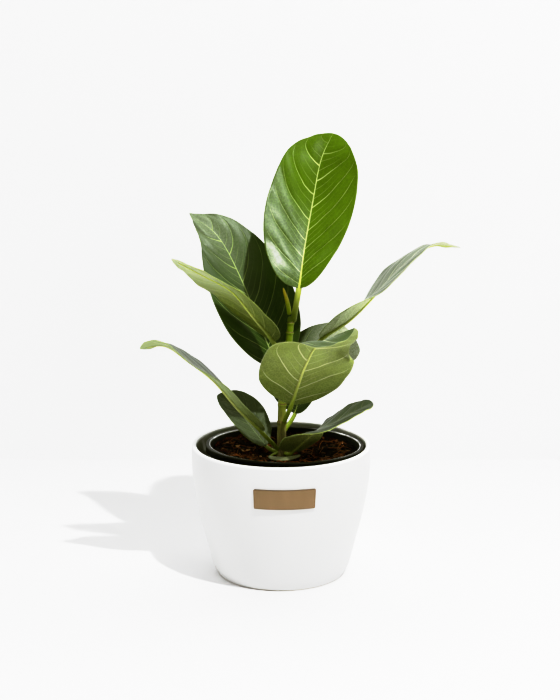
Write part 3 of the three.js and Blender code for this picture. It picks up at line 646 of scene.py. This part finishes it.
# The leaves, lowest first. route: the stalk's start in the stem, the blade's base, then points to
# the tip. half, widest, open and taper: for the left and the right half of the blade, how wide it
# is, where it is widest, and how it opens and closes. face: the way the upper side looks, from base
# to tip. fold and curl: degrees of lift at the midrib and of bend towards the margin. lean: how
# much further forward the right half's veins run. pairs: side veins on each side. thin: how thick
# the stalk is beside the usual one.
LEAVES = [
    {"name": "soil_front", "half": (3, 3.2), "widest": (0.45, 0.45), "open": (0.5, 0.5),
     "taper": (0.5, 0.5), "curl": -18, "lean": 0, "pairs": 4, "thin": 0.55,
     "route": [(-3, -2, 100.2), (-9, -12, 100), (-3, -19, 101), (6, -21, 101.9), (15.5, -20, 103)],
     "face": [(0, -0.25, 1), (0, -0.3, 1), (-0.1, -0.35, 0.9)],
     "fold": [-14, -24, -30]},
    {"name": "low_back_left", "half": (14, 19), "widest": (0.45, 0.55), "open": (0.5, 0.5),
     "taper": (0.75, 0.6), "curl": 10, "lean": 0, "pairs": 5, "thin": 0.8,
     "route": [(-2, 2, 98), (-12, 5, 104), (-23, 13, 115), (-36, 22, 129), (-53, 31, 140)],
     "face": [(0.4, -0.7, 0.55), (0.4, -0.7, 0.55), (0.35, -0.75, 0.55)],
     "fold": [15, 10, 5]},
    {"name": "low_right", "half": (19, 20), "widest": (0.35, 0.32), "open": (0.5, 0.5),
     "taper": (0.4, 0.4), "curl": 5, "lean": 0, "pairs": 5, "thin": 0.85,
     "route": [(3, 0, 98.5), (8, -4, 101), (18, -12, 112), (27, -18, 122), (42, -21, 130),
               (59, -21, 139.5), (73, -18, 146)],
     "face": [(-0.55, 0.75, 0.4), (-0.55, 0.7, 0.45), (-0.5, 0.05, 0.85), (-0.45, -0.1, 0.9),
              (-0.35, -0.25, 0.9)],
     "fold": [5, 5, 0, 5, 5]},
    {"name": "low_left", "half": (19, 15), "widest": (0.45, 0.45), "open": (0.5, 0.5),
     "taper": (0.6, 0.8), "curl": 5, "lean": 0, "pairs": 6, "thin": 0.95,
     "route": [(-2, 2, 101), (-15, -9, 120), (-33, -15, 139), (-53, -20, 164), (-72, -24, 180),
               (-91, -26, 193.5), (-111, -26, 191.5)],
     "face": [(0.7, 0.3, 0.65), (0.72, 0.22, 0.66), (0.65, 0.05, 0.75), (0.55, 0.08, 0.83),
              (0.1, 0.65, 0.75)],
     "fold": [18, 14, 8, 8, 10]},
    {"name": "front", "half": (37.5, 36), "widest": (0.46, 0.4), "open": (0.5, 0.5),
     "taper": (0.52, 0.9), "curl": 0, "lean": 0, "pairs": 4, "thin": 1,
     "route": [(2, 1, 124), (8, -14, 143), (13, -24, 161), (19, -35, 180), (27, -43, 197),
               (40, -50, 206), (56, -57, 214)],
     "face": [(0, 0.7, 0.7), (-0.13, 0.82, 0.56), (-0.13, 0.82, 0.58), (-0.46, 0.42, 0.78),
              (-0.5, 0, 0.85)],
     "fold": [10, 0, -3, -15, -35]},
    {"name": "back_right", "half": (33, 18), "widest": (0.5, 0.5), "open": (0.5, 0.5),
     "taper": (0.5, 0.5), "curl": 5, "lean": 0, "pairs": 6, "thin": 0.95,
     "route": [(2, 3, 116), (11, 9, 130), (18, 18, 148), (31, 28, 166), (49, 35, 176),
               (65, 38, 179)],
     "face": [(-0.4, -0.85, 0.35), (-0.35, -0.85, 0.4), (-0.15, -0.75, 0.65)],
     "fold": [8, 5, 0]},
    {"name": "left", "half": (22, 27), "widest": (0.38, 0.38), "open": (0.5, 0.5),
     "taper": (0.7, 0.7), "curl": 0, "lean": 0, "pairs": 6, "thin": 1,
     "route": [(4, 0, 175), (-6, -8, 194), (-23, -16, 217), (-39, -22, 237), (-61, -26, 250),
               (-85, -28, 263)],
     "face": [(0.7, 0.6, 0.4), (0.6, 0.45, 0.65), (0.4, 0.45, 0.8)],
     "fold": [8, -8, -5]},
    {"name": "back_left", "half": (34, 37), "widest": (0.38, 0.36), "open": (1.05, 0.8),
     "taper": (1.1, 1), "curl": 5, "lean": 0, "pairs": 7, "thin": 1,
     "route": [(3, 4, 156), (-3, 8, 169), (-18, 17, 203), (-33, 27, 239), (-51, 36, 271),
               (-75, 43, 290)],
     "face": [(0.3, -0.9, 0.2), (0.3, -0.8, 0.3), (0.2, -0.7, 0.5)],
     "fold": [25, 10, 5]},
    {"name": "right", "half": (25, 23), "widest": (0.38, 0.4), "open": (0.4, 0.5),
     "taper": (0.85, 0.85), "curl": 0, "lean": 0, "pairs": 6, "thin": 1,
     "route": [(8, 2, 171), (31, -1, 194), (55, -4, 211), (75, -7, 232), (95, -9, 254),
               (117, -9, 270), (141, -8, 269)],
     "face": [(-0.65, 0.4, 0.65), (-0.65, 0.3, 0.7), (-0.65, -0.1, 0.75), (-0.6, 0.05, 0.8),
              (0, 0.35, 0.95)],
     "fold": [14, 14, 4, 3, 5]},
    {"name": "top", "half": (37.5, 34.5), "widest": (0.42, 0.56), "open": (0.5, 0.5),
     "taper": (0.66, 0.52), "curl": 6, "lean": 0.12, "pairs": 7, "thin": 1.3,
     "route": [(9.6, 3.2, 207), (14, -12, 237), (19, 6, 268.1), (25, 22, 299.3), (32, 35, 333.2),
               (42, 46, 354.5)],
     "face": [(0, -1, 0.2), (0, -1, 0.4), (0, -0.5, 1)],
     "fold": [12, 10, 4]},
]
LEAF_THICK = 0.7
VEIN_RISE = 0.62
CUSHION_RISE = 0.03
WAVE_RISE = 0.022
BLADE_COLUMNS = 48
SMALL_BLADE_COLUMNS = 16
STALK_RADIUS = 1.8
MIDRIB_TIP_RADIUS = 0.3
MIDRIB_END = 0.95
STALK_SIDES = 16
STALK_ROWS = 110

# Each leaf's own greens and wax: its upper side, its under side, its veins, how far each side is
# painted paler towards the tip as a painted sheen, and how strongly it shines.
LEAF_TONES = {
    "soil_front": ((126, 131, 98), (116, 122, 76), (150, 156, 112), (0, 0), 0.4),
    "low_back_left": ((72, 82, 59), (116, 130, 72), (122, 134, 94), (0, 0.1), 0.12),
    "low_right": ((50, 62, 35), (168, 178, 112), (130, 142, 74), (0, 0), 0.4),
    "low_left": ((84, 89, 80), (126, 138, 88), (150, 158, 114), (0, 0.3), 0.7),
    "front": ((72, 88, 50), (130, 140, 80), (212, 210, 172), (0, 0.1), 0.4),
    "back_right": ((40, 54, 25), (140, 150, 92), (140, 152, 98), (0.7, 0.5), 0.1),
    "left": ((70, 86, 46), (121, 133, 64), (186, 192, 124), (0, 0.6), 0.5),
    "back_left": ((48, 70, 22), (104, 120, 60), (164, 180, 112), (0.25, 0.2), 0.33),
    "right": ((100, 108, 90), (172, 180, 142), (186, 192, 146), (0, 0), 0.5),
    "top": ((76, 100, 3), (112, 138, 34), (178, 188, 124), (0, 0), 0.12),
}

# The veins of a blade, as a node group: its map runs across and along the leaf, so that each side
# vein is a line across the map.
leaf_veins = bpy.data.node_groups.new("leaf_veins", "ShaderNodeTree")
for kind, name in (("Vector", "Map"), ("Vector", "Place"), ("Float", "Pairs"),
                   ("Float", "Midrib Width"), ("Float", "Vein Width")):
    leaf_veins.interface.new_socket(name, in_out="INPUT", socket_type="NodeSocket" + kind)
for name in ("Midrib", "Veins", "Net", "Margin", "Cushions"):
    leaf_veins.interface.new_socket(name, in_out="OUTPUT", socket_type="NodeSocketFloat")
given = put(leaf_veins, "NodeGroupInput").outputs
split = put(leaf_veins, "ShaderNodeSeparateXYZ", {0: given["Map"]})
from_left = calc(leaf_veins, "MULTIPLY_ADD", split.outputs[0], 2, -1)
out_from_middle = calc(leaf_veins, "ABSOLUTE", from_left)
on_left = calc(leaf_veins, "LESS_THAN", split.outputs[0], 0.5)
wander = calc(leaf_veins, "SUBTRACT", grain(leaf_veins, given["Place"], 45, 2), 0.5)
turn_forward = calc(leaf_veins, "MULTIPLY", calc(leaf_veins, "POWER", out_from_middle, 7), -0.055)
shifted = calc(leaf_veins, "MULTIPLY_ADD", wander, 0.03, turn_forward)
row = calc(leaf_veins, "ADD", split.outputs[1], shifted)
count = calc(leaf_veins, "ADD", given["Pairs"], 1)
phase = calc(leaf_veins, "MULTIPLY_ADD", row, count, calc(leaf_veins, "MULTIPLY", on_left, 0.5))
away = calc(leaf_veins, "PINGPONG", phase, 0.5)
finer = calc(leaf_veins, "PINGPONG", calc(leaf_veins, "MULTIPLY", phase, 3), 0.5)
width = calc(leaf_veins, "MULTIPLY", given["Vein Width"],
             calc(leaf_veins, "MULTIPLY_ADD", out_from_middle, -0.6, 1))
edge = calc(leaf_veins, "MULTIPLY", width, 2.2)
main_vein = calc(leaf_veins, "MULTIPLY", ramp(leaf_veins, away, width, edge, 1, 0),
                 ramp(leaf_veins, out_from_middle, 0.82, 0.97, 1, 0.15))
small_edge = calc(leaf_veins, "MULTIPLY", edge, 1.6)
small_vein = calc(leaf_veins, "MULTIPLY", ramp(leaf_veins, finer, width, small_edge, 1, 0),
                  ramp(leaf_veins, out_from_middle, 0.15, 0.6, 0.45, 0.1))
cell_edge = put(leaf_veins, "ShaderNodeTexVoronoi", {0: given["Place"], "Scale": 420.0},
                feature="DISTANCE_TO_EDGE").outputs["Distance"]
narrowing = calc(leaf_veins, "MULTIPLY", given["Midrib Width"],
                 calc(leaf_veins, "MULTIPLY_ADD", split.outputs[1], -0.75, 1.05))
midrib_edge = calc(leaf_veins, "MULTIPLY", narrowing, 1.7)
to_middle = calc(leaf_veins, "SUBTRACT", 1, out_from_middle)
put(leaf_veins, "NodeGroupOutput", {
    "Midrib": ramp(leaf_veins, out_from_middle, narrowing, midrib_edge, 1, 0),
    "Veins": calc(leaf_veins, "MAXIMUM", main_vein, small_vein),
    "Net": ramp(leaf_veins, cell_edge, 0.02, 0.12, 1, 0),
    "Margin": ramp(leaf_veins, out_from_middle, 0.98, 0.997),
    "Cushions": calc(leaf_veins, "MULTIPLY", away, to_middle),
})


def leaf_skin(leaf, upper):
    """The waxy skin of one side of one leaf."""
    name = leaf["name"]
    upper_green, under_green, vein_tone, (upper_tip_sheen, under_tip_sheen), shine = LEAF_TONES[name]
    green, painted_tip_sheen = (upper_green, upper_tip_sheen) if upper else (under_green, under_tip_sheen)
    material, tree, shader, coords = new_finish(f"leaf_{name}_{'upper' if upper else 'under'}")
    place, flat = coords.outputs["Object"], coords.outputs["UV"]
    veins = put(tree, "ShaderNodeGroup", {
        "Map": flat,
        "Place": place,
        "Pairs": leaf["pairs"],
        "Midrib Width": 0.017 if upper else 0.022,
        "Vein Width": 0.017,
    }, node_tree=leaf_veins).outputs
    across_along = put(tree, "ShaderNodeSeparateXYZ", {0: flat})
    across, row = across_along.outputs[0], across_along.outputs[1]
    clouds = grain(tree, place, 38, 3, 0.55)
    flecks = grain(tree, place, 520, 3, 0.6)
    lighter = tone(*[min(255, value * 1.06 + 2) for value in green])
    darker = tone(*[value * 0.95 for value in green])
    brighter = tone(*[min(255, value * 1.25) for value in green])
    colour = mix(tree, ramp(tree, clouds, 0.3, 0.72), darker, lighter)
    # Painted sheen: each side is painted paler towards the tip.
    colour = mix(tree, ramp(tree, row, 0.35, 1, 0, painted_tip_sheen), colour, tone(206, 212, 186))
    if not upper:
        # Painted shade: near the stalk the under side is painted a deeper and warmer green.
        painted_base_shade = tone(green[0] * 0.5, green[1] * 0.6, green[2] * 0.12)
        colour = mix(tree, ramp(tree, row, 0, 0.55, 0.55, 0), colour, painted_base_shade)
    if name == "top" and upper:
        # The young leaf is more polished low on its left half, and painted shade darkens it there.
        wax_and_shade_mask = calc(tree, "MULTIPLY", ramp(tree, across, 0.44, 0.52, 1, 0),
                      ramp(tree, row, 0.4, 0.66, 1, 0))
        colour = mix(tree, calc(tree, "MULTIPLY", wax_and_shade_mask, 0.6), colour, tone(44, 70, 4))
        wax = calc(tree, "MULTIPLY", wax_and_shade_mask, ramp(tree, flecks, 0.3, 0.7, 0.6, 1))
        tree.links.new(wax, shader.inputs["Coat Weight"])
        shader.inputs["Coat Roughness"].default_value = 0.45
        shader.inputs["Coat IOR"].default_value = 1.75
    colour = mix(tree, ramp(tree, flecks, 0.45, 0.75, 0, 0.25), colour, brighter)
    colour = mix(tree, calc(tree, "MULTIPLY", veins["Net"], 0.3), colour, brighter)
    side_veins = calc(tree, "MULTIPLY", veins["Veins"], ramp(tree, row, 0.82, 0.93, 0.72, 0.15))
    margin = calc(tree, "MULTIPLY", veins["Margin"], 0.15)
    midrib = calc(tree, "MULTIPLY", veins["Midrib"], 0.9)
    for line in (side_veins, margin, midrib):
        colour = mix(tree, line, colour, tone(*vein_tone))
    tree.links.new(colour, shader.inputs["Base Color"])
    roughness = {"top": 0.42, "right": 0.36}.get(name, 0.44) if upper else 0.5
    roughness = calc(tree, "MULTIPLY_ADD", clouds, 0.08, roughness - 0.08)
    roughness = calc(tree, "MULTIPLY_ADD", flecks, 0.08, roughness)
    tree.links.new(roughness, shader.inputs["Roughness"])
    relief = calc(tree, "MULTIPLY", veins["Net"], -0.08 if upper else 0.1)
    relief = calc(tree, "MULTIPLY_ADD", veins["Veins"], -0.35 if upper else 0.5, relief)
    relief = calc(tree, "MULTIPLY_ADD", veins["Cushions"], 1.2, relief)
    relief = calc(tree, "MULTIPLY_ADD", flecks, 0.05, relief)
    tree.links.new(bumps(tree, relief, 0.0007, 0.5), shader.inputs["Normal"])
    shader.inputs["Specular IOR Level"].default_value = shine if upper else 0.4
    return material


def leaf_frame(leaf, share):
    """The centre line at a share of the blade, with its cross and face directions."""
    first = 1 / (len(leaf["route"]) - 1)
    t = min(max(first + share * (1 - first), 0), 1)
    centre = along_stops(leaf["route"], t, 1)
    ahead = (along_stops(leaf["route"], min(1, t + 0.01), 1)
             - along_stops(leaf["route"], max(0, t - 0.01), 1))
    ahead.normalize()
    face = along_stops(leaf["face"], share)
    face = (face - ahead * face.dot(ahead)).normalized()
    return centre, ahead.cross(face), face


def half_width(leaf, share, side):
    """Width of the left or the right half of the blade at a share of its length."""
    half = 0 if side < 0 else 1
    opening, taper = leaf["open"][half], leaf["taper"][half]
    peak = opening / (opening + taper)
    along = min(max(share, 0), 1) ** (math.log(peak) / math.log(leaf["widest"][half]))
    return leaf["half"][half] * (along / peak) ** opening * ((1 - along) / (1 - peak)) ** taper


def blade_point(leaf):
    """The place function of one blade. Rows follow the side veins from the midrib to the margin."""
    def place(across, row):
        side = 2 * across - 1
        sign = (side > 0) - (side < 0)
        bow = row * (1 - row)
        forward = 2 * VEIN_RISE + sign * leaf["lean"]
        share = row - VEIN_RISE * bow + forward * bow * abs(side) ** 1.2
        centre, cross, face = leaf_frame(leaf, share)
        start = math.radians(along_stops(leaf["fold"], share))
        bend = math.radians(leaf["curl"] + 0.01) / leaf["half"][0]
        slope = start + bend * abs(side) * half_width(leaf, share, side)
        step = row * (leaf["pairs"] + 1) + (0.5 if side < 0 else 0)
        cushion = CUSHION_RISE * leaf["half"][0] * math.sqrt(abs(math.sin(math.pi * step)))
        cushion *= math.sin(math.pi * abs(side)) ** 2 * min(1, 8 * bow)
        ripple = math.sin(row * 19 + (0 if side > 0 else 2)) + 0.35 * math.sin(row * 47 + 3 * sign)
        wave = WAVE_RISE * leaf["half"][0] * side * side * ripple * min(1, 10 * bow)
        out = cross * sign * (math.sin(slope) - math.sin(start)) / bend
        lift = (math.cos(start) - math.cos(slope)) / bend + cushion + wave
        return (centre + out + face * lift) * MM
    return place


def midrib_point(leaf):
    """The place function of one stalk, which sinks half into the under side of its blade."""
    start = -1 / (len(leaf["route"]) - 2)
    stalk_radius = STALK_RADIUS * leaf["thin"]

    def share_at(along):
        return start + (MIDRIB_END - start) * along

    def radius_at(along):
        blade = min(max(share_at(along), 0), 1)
        radius = stalk_radius + (MIDRIB_TIP_RADIUS - stalk_radius) * math.sqrt(blade)
        return radius * MM * blunt(along, 0.01)

    def centre_at(along):
        share = share_at(along)
        centre, _, face = leaf_frame(leaf, share)
        joined = min(max((share - start) / -start, 0), 1)
        joined *= joined * (3 - 2 * joined)
        below = LEAF_THICK / 2 + radius_at(along) / MM * 0.45
        return (centre - face * below * joined) * MM
    return rod_point(centre_at, radius_at, leaf_frame(leaf, 0)[1])


stalk_skin, tree, shader, coords = new_finish("stalk_skin")
place, flat = coords.outputs["Object"], coords.outputs["UV"]
up_stalk = put(tree, "ShaderNodeSeparateXYZ", {0: flat}).outputs[1]
streaks = grain(tree, flat, 5, 4, 0.6, (3, 9, 1))
mottle = grain(tree, place, 240, 3, 0.6)
stalk_tone = mix(tree, ramp(tree, up_stalk, 0.1, 0.5), tone(126, 146, 14), tone(192, 196, 126))
height = put(tree, "ShaderNodeSeparateXYZ", {0: place}).outputs[2]
# Painted light: stalks above the stem's top are painted paler, where the top stalk is lit.
stalk_tone = mix(tree, ramp(tree, height, 0.205, 0.235), stalk_tone, tone(188, 198, 92))
stalk_tone = mix(tree, ramp(tree, streaks, 0.4, 0.7, 0, 0.35), stalk_tone, tone(176, 184, 92))
stalk_tone = mix(tree, ramp(tree, mottle, 0.58, 0.75, 0, 0.35), stalk_tone, tone(92, 108, 18))
tree.links.new(stalk_tone, shader.inputs["Base Color"])
tree.links.new(ramp(tree, mottle, 0.3, 0.7, 0.38, 0.52), shader.inputs["Roughness"])
stalk_relief = calc(tree, "ADD", streaks, mottle)
tree.links.new(bumps(tree, stalk_relief, 0.0003, 0.5), shader.inputs["Normal"])

for leaf in LEAVES:
    leaf["route"] = [Vector(point) for point in leaf["route"]]
    leaf["face"] = [Vector(direction) for direction in leaf["face"]]
    name = leaf["name"]
    columns = SMALL_BLADE_COLUMNS if name == "soil_front" else BLADE_COLUMNS
    bm = wrapped_grid(columns, 3 * columns, blade_point(leaf))
    blade = piece_from(bm, f"leaf_{name}_skin", leaf_skin(leaf, True), leaf_skin(leaf, False))
    body = blade.modifiers.new("body", "SOLIDIFY")
    body.thickness = LEAF_THICK * MM
    body.offset = 0
    body.material_offset = 1
    body.material_offset_rim = 1
    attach(blade, "root")
    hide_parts(f"leaf_{name}_blade")
    bm = wrapped_grid(STALK_SIDES, STALK_ROWS, midrib_point(leaf))
    bmesh.ops.recalc_face_normals(bm, faces=bm.faces)
    stalk = piece_from(bm, f"leaf_{name}_midrib", stalk_skin)
    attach(stalk, "root")
    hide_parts(f"leaf_{name}_stalk")


# ---- floor, wall and light -----------------------------------------------------------------------
# A plain white floor meets a pale wall close behind the pot, and the wall is clear from its back.
# A high lamp to the right and in front gives the one clear shadow, and broad windows and the pale
# room give the rest of the light.

ROOM = 9
WALL_PLACE = 0.324
WALL_HEIGHT = 6


def painted(name, bright, glow):
    """A matt paint, with a glow of its own where it stands in for more light on it."""
    material, tree, shader, _ = new_finish(name)
    shader.inputs["Base Color"].default_value = tone(bright, bright, bright)
    shader.inputs["Roughness"].default_value = 0.9
    shader.inputs["Specular IOR Level"].default_value = 0.05
    shader.inputs["Emission Color"].default_value = (1, 1, 1, 1)
    shader.inputs["Emission Strength"].default_value = glow
    return material, tree, shader


def flat_sheet(name, corners, material):
    bm = bmesh.new()
    bm.faces.new([bm.verts.new(corner) for corner in corners])
    sheet = piece_from(bm, name, material)
    return sheet


floor_paint = painted("floor_paint", 242, 0)[0]
flat_sheet("floor", [(-ROOM, -ROOM, 0), (ROOM, -ROOM, 0), (ROOM, ROOM, 0), (-ROOM, ROOM, 0)],
           floor_paint)

wall_paint, tree, shader = painted("wall_paint", 230, 0.23)
open_back = put(tree, "ShaderNodeMixShader", {
    0: put(tree, "ShaderNodeNewGeometry").outputs["Backfacing"],
    1: shader.outputs[0],
    2: put(tree, "ShaderNodeBsdfTransparent").outputs[0],
})
tree.links.new(open_back.outputs[0], tree.nodes["Material Output"].inputs["Surface"])
wall = flat_sheet("wall", [(-ROOM, WALL_PLACE, 0), (ROOM, WALL_PLACE, 0),
                           (ROOM, WALL_PLACE, WALL_HEIGHT), (-ROOM, WALL_PLACE, WALL_HEIGHT)],
                  wall_paint)
wall.visible_shadow = False


def lamp(name, kind, place, aim, strength, **settings):
    light = bpy.data.lights.new(name, kind)
    light.energy = strength
    for setting, value in settings.items():
        setattr(light, setting, value)
    holder = bpy.data.objects.new(name, light)
    holder.location = place
    holder.rotation_euler = (Vector(aim) - Vector(place)).to_track_quat("-Z", "Y").to_euler()
    holder.visible_camera = False
    bpy.context.scene.collection.objects.link(holder)


lamp("high_lamp", "POINT", (0.47, -0.71, 1.575), (0, 0, 0), 106, shadow_soft_size=0.02)
lamp("front_window", "AREA", (1.05, -1.75, 0.85), (0, 0, 0.22), 3.5, shape="DISK", size=0.55)
lamp("left_window", "AREA", (-1.7, -1.2, 0.9), (0, 0, 0.1), 7, shape="DISK", size=1.2)

world = bpy.data.worlds.new("pale_room")
bpy.context.scene.world = world
world.use_nodes = True
tree = world.node_tree
all_round = put(tree, "ShaderNodeTexCoord").outputs["Generated"]
toward = put(tree, "ShaderNodeSeparateXYZ", {0: all_round})
backward_up = calc(tree, "MULTIPLY_ADD", toward.outputs[2], 0.8, toward.outputs[1])
room_light = ramp(tree, backward_up, -0.7, 0.8, 0.035, 0.55)
looked_at = put(tree, "ShaderNodeLightPath").outputs["Is Camera Ray"]
room_light = calc(tree, "MAXIMUM", room_light, calc(tree, "MULTIPLY", looked_at, 0.8))
tree.links.new(room_light, tree.nodes["Background"].inputs["Strength"])
tree.nodes["Background"].inputs["Color"].default_value = (1, 1, 1, 1)

# The tone curve: deep greens stay deep and warm, and the whites roll off before they burn out.
BLUE_CURVE, MAIN_CURVE = 2, 3
CURVE_POINTS = [
    (MAIN_CURVE, [(0.05, 0.06), (0.1, 0.15), (0.15, 0.27), (0.225, 0.52), (0.3, 0.73), (0.45, 0.86),
                  (0.7, 0.955)]),
    (BLUE_CURVE, [(0.012, 0.006), (0.03, 0.021), (0.07, 0.063), (0.12, 0.116), (0.37, 0.37)]),
]
looks = bpy.context.scene.view_settings
looks.view_transform = "Standard"
looks.use_curve_mapping = True
looks.curve_mapping.white_level = (2, 2, 2)
for which, points in CURVE_POINTS:
    for light_in, light_out in points:
        looks.curve_mapping.curves[which].points.new(light_in, light_out)
looks.curve_mapping.update()
